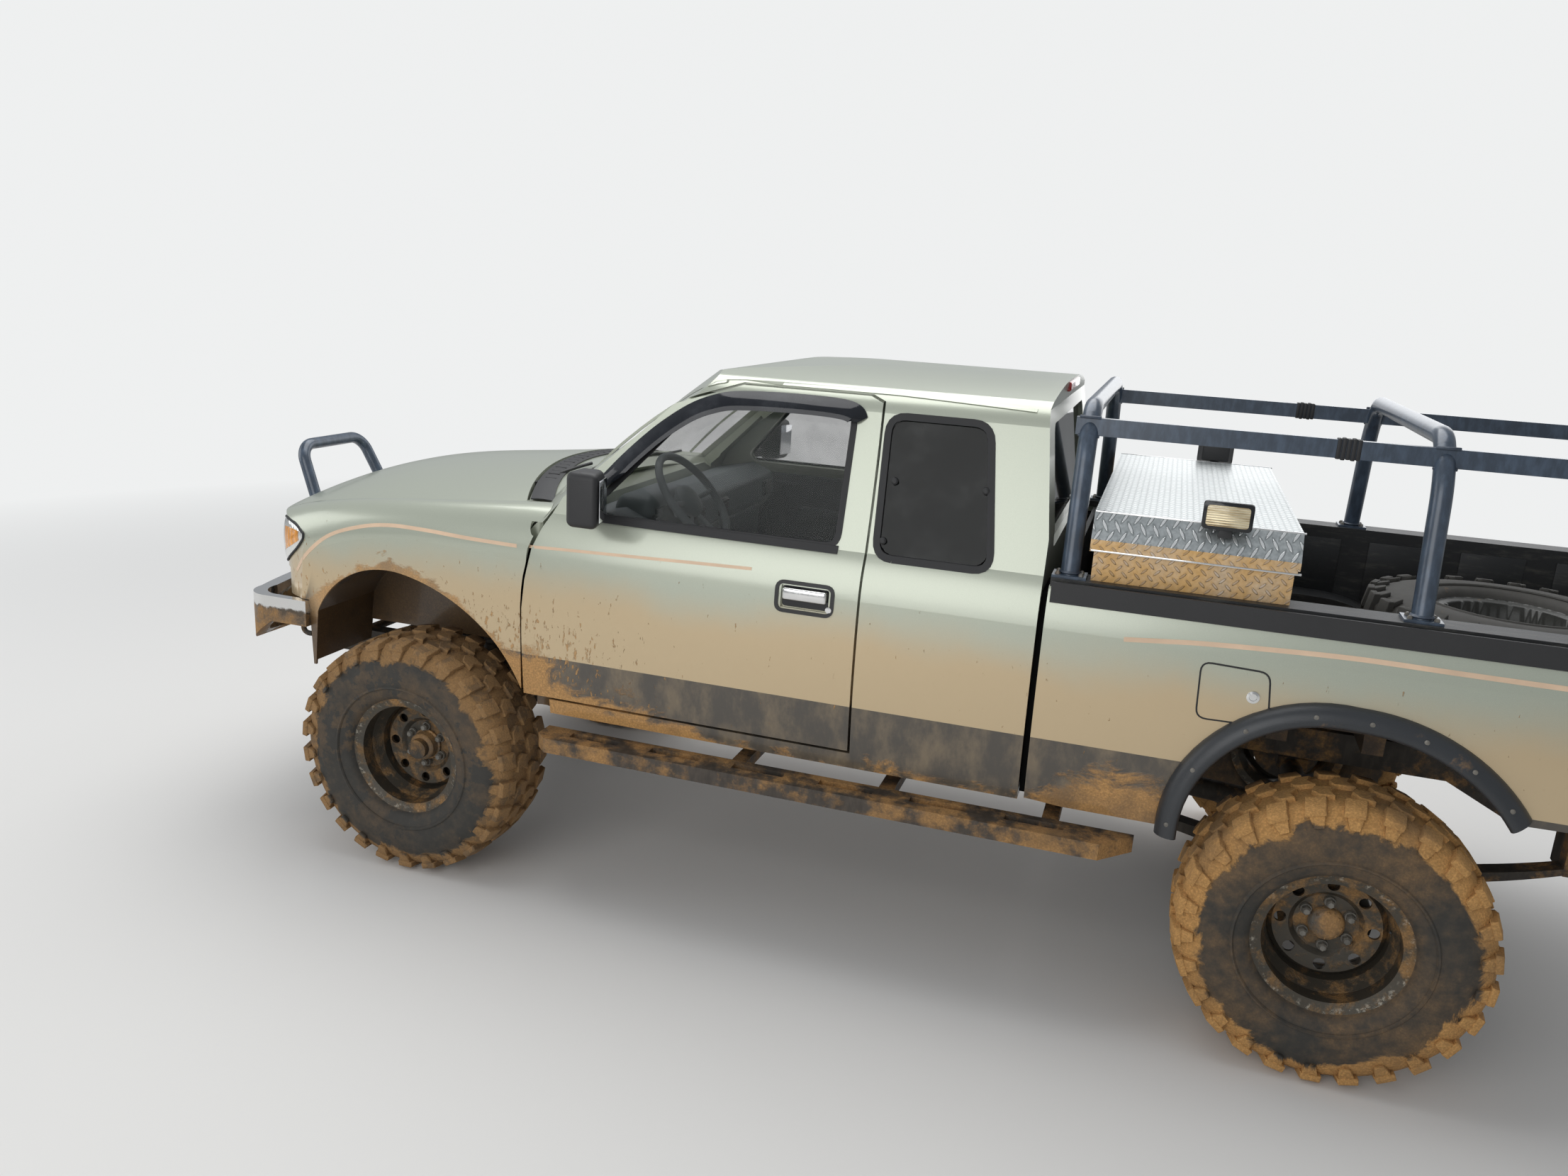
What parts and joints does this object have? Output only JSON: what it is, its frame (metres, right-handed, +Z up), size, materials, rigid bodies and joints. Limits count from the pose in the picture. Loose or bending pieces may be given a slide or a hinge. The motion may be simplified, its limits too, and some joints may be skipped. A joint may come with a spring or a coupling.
{
  "type": "off-road pickup truck",
  "caption": "Lifted extended-cab four-wheel-drive pickup with bed rack, crossover toolbox, side steps and front hoop.",
  "frame": {"origin": "middle of the footprint on the ground, under the tyres", "axes": "+X to the rear, +Y to the right-hand side of the vehicle, +Z up"},
  "size_m": [5.365, 1.97, 1.9156],
  "materials": {
    "paint": "metallic",
    "black_steel": "satin",
    "frame_steel": "rough",
    "wheel_steel": "satin",
    "tyre": "matte",
    "glass": "smoked",
    "tread_plate": "embossed",
    "black_plastic": "moulded",
    "bed_liner": "ribbed",
    "chrome": "polished",
    "cabin_trim": "moulded",
    "seat_cloth": "woven",
    "lamp": "clear",
    "red_lamp": "clear"
  },
  "bodies": {
    "chassis": {"ladder_frame": "frame_steel", "engine_block": "frame_steel", "driveline": "frame_steel", "exhaust": "frame_steel", "fuel_tank": "black_plastic", "front_suspension": "frame_steel", "rear_axle": "frame_steel", "leaf_springs": "frame_steel", "cab_floor": "paint", "cab_roof": "paint", "cab_side_left": "paint", "cab_side_right": "paint", "cab_back": "paint", "windscreen": "glass", "back_glass": "glass", "quarter_windows": "glass", "dashboard": "cabin_trim", "seats": "seat_cloth", "fender_left": "paint", "fender_right": "paint", "grille": "paint", "headlamps": "lamp", "front_bumper": "chrome", "front_hoop": "black_steel", "bed_tub": "bed_liner", "bedside_left": "paint", "bedside_right": "paint", "wheel_flares": "black_plastic", "tail_lamps": "red_lamp", "rear_bumper": "chrome", "bed_rack": "black_steel", "toolbox_body": "tread_plate", "spare_wheel": "tyre", "side_steps": "black_steel"},
    "hood": {"hood": "paint"},
    "door_left": {"door_left": "paint", "door_glass_left": "glass", "mirror_left": "black_plastic"},
    "door_right": {"door_right": "paint", "door_glass_right": "glass", "mirror_right": "black_plastic"},
    "tailgate": {"tailgate": "paint"},
    "toolbox_lid": {"toolbox_lid": "tread_plate", "work_lamps": "lamp"},
    "steering_wheel": {"steering_wheel": "cabin_trim"},
    "knuckle_left": {"knuckle_left": "frame_steel"},
    "knuckle_right": {"knuckle_right": "frame_steel"},
    "wheel_front_left": {"rim_front_left": "wheel_steel", "tyre_front_left": "tyre"},
    "wheel_front_right": {"rim_front_right": "wheel_steel", "tyre_front_right": "tyre"},
    "wheel_rear_left": {"rim_rear_left": "wheel_steel", "tyre_rear_left": "tyre"},
    "wheel_rear_right": {"rim_rear_right": "wheel_steel", "tyre_rear_right": "tyre"}
  },
  "joints": [
    {"name": "hood_hinge", "type": "hinge", "parent": "chassis", "child": "hood", "pos_m": [-1.244, 0, 1.374], "axis": [0, 1, 0], "range_deg": [0, 50]},
    {"name": "door_left_hinge", "type": "hinge", "parent": "chassis", "child": "door_left", "pos_m": [-1.162, -0.82, 1], "axis": [0, 0, -1], "range_deg": [0, 62]},
    {"name": "door_right_hinge", "type": "hinge", "parent": "chassis", "child": "door_right", "pos_m": [-1.162, 0.82, 1], "axis": [0, 0, 1], "range_deg": [0, 62]},
    {"name": "tailgate_hinge", "type": "hinge", "parent": "chassis", "child": "tailgate", "pos_m": [2.524, 0, 0.915], "axis": [0, 1, 0], "range_deg": [0, 90]},
    {"name": "toolbox_lid_hinge", "type": "hinge", "parent": "chassis", "child": "toolbox_lid", "pos_m": [1.223, 0, 1.478], "axis": [0, 1, 0], "range_deg": [0, 20]},
    {"name": "steering", "type": "hinge", "parent": "chassis", "child": "knuckle_left", "pos_m": [-1.64, -0.7, 0.44], "axis": [0, 0, 1], "range_deg": [-30, 30]},
    {"name": "steering_right", "type": "hinge", "parent": "chassis", "child": "knuckle_right", "pos_m": [-1.64, 0.7, 0.44], "axis": [0, 0, 1], "range_deg": [-30, 30]},
    {"name": "steering_wheel_turn", "type": "hinge", "parent": "chassis", "child": "steering_wheel", "pos_m": [-0.768, -0.4, 1.409], "axis": [0.766, 0, 0.6428], "range_deg": [-480, 480]},
    {"name": "wheel_front_left_spin", "type": "hinge", "parent": "knuckle_left", "child": "wheel_front_left", "pos_m": [-1.64, -0.8, 0.44], "axis": [0, 1, 0], "continuous": true},
    {"name": "wheel_front_right_spin", "type": "hinge", "parent": "knuckle_right", "child": "wheel_front_right", "pos_m": [-1.64, 0.8, 0.44], "axis": [0, 1, 0], "continuous": true},
    {"name": "wheel_rear_left_spin", "type": "hinge", "parent": "chassis", "child": "wheel_rear_left", "pos_m": [1.456, -0.8, 0.44], "axis": [0, 1, 0], "continuous": true},
    {"name": "wheel_rear_right_spin", "type": "hinge", "parent": "chassis", "child": "wheel_rear_right", "pos_m": [1.456, 0.8, 0.44], "axis": [0, 1, 0], "continuous": true}
  ],
  "couplings": [
    {"joint": "steering_right", "follows": "steering", "ratio": 1},
    {"joint": "steering_wheel_turn", "follows": "steering", "ratio": 16}
  ]
}
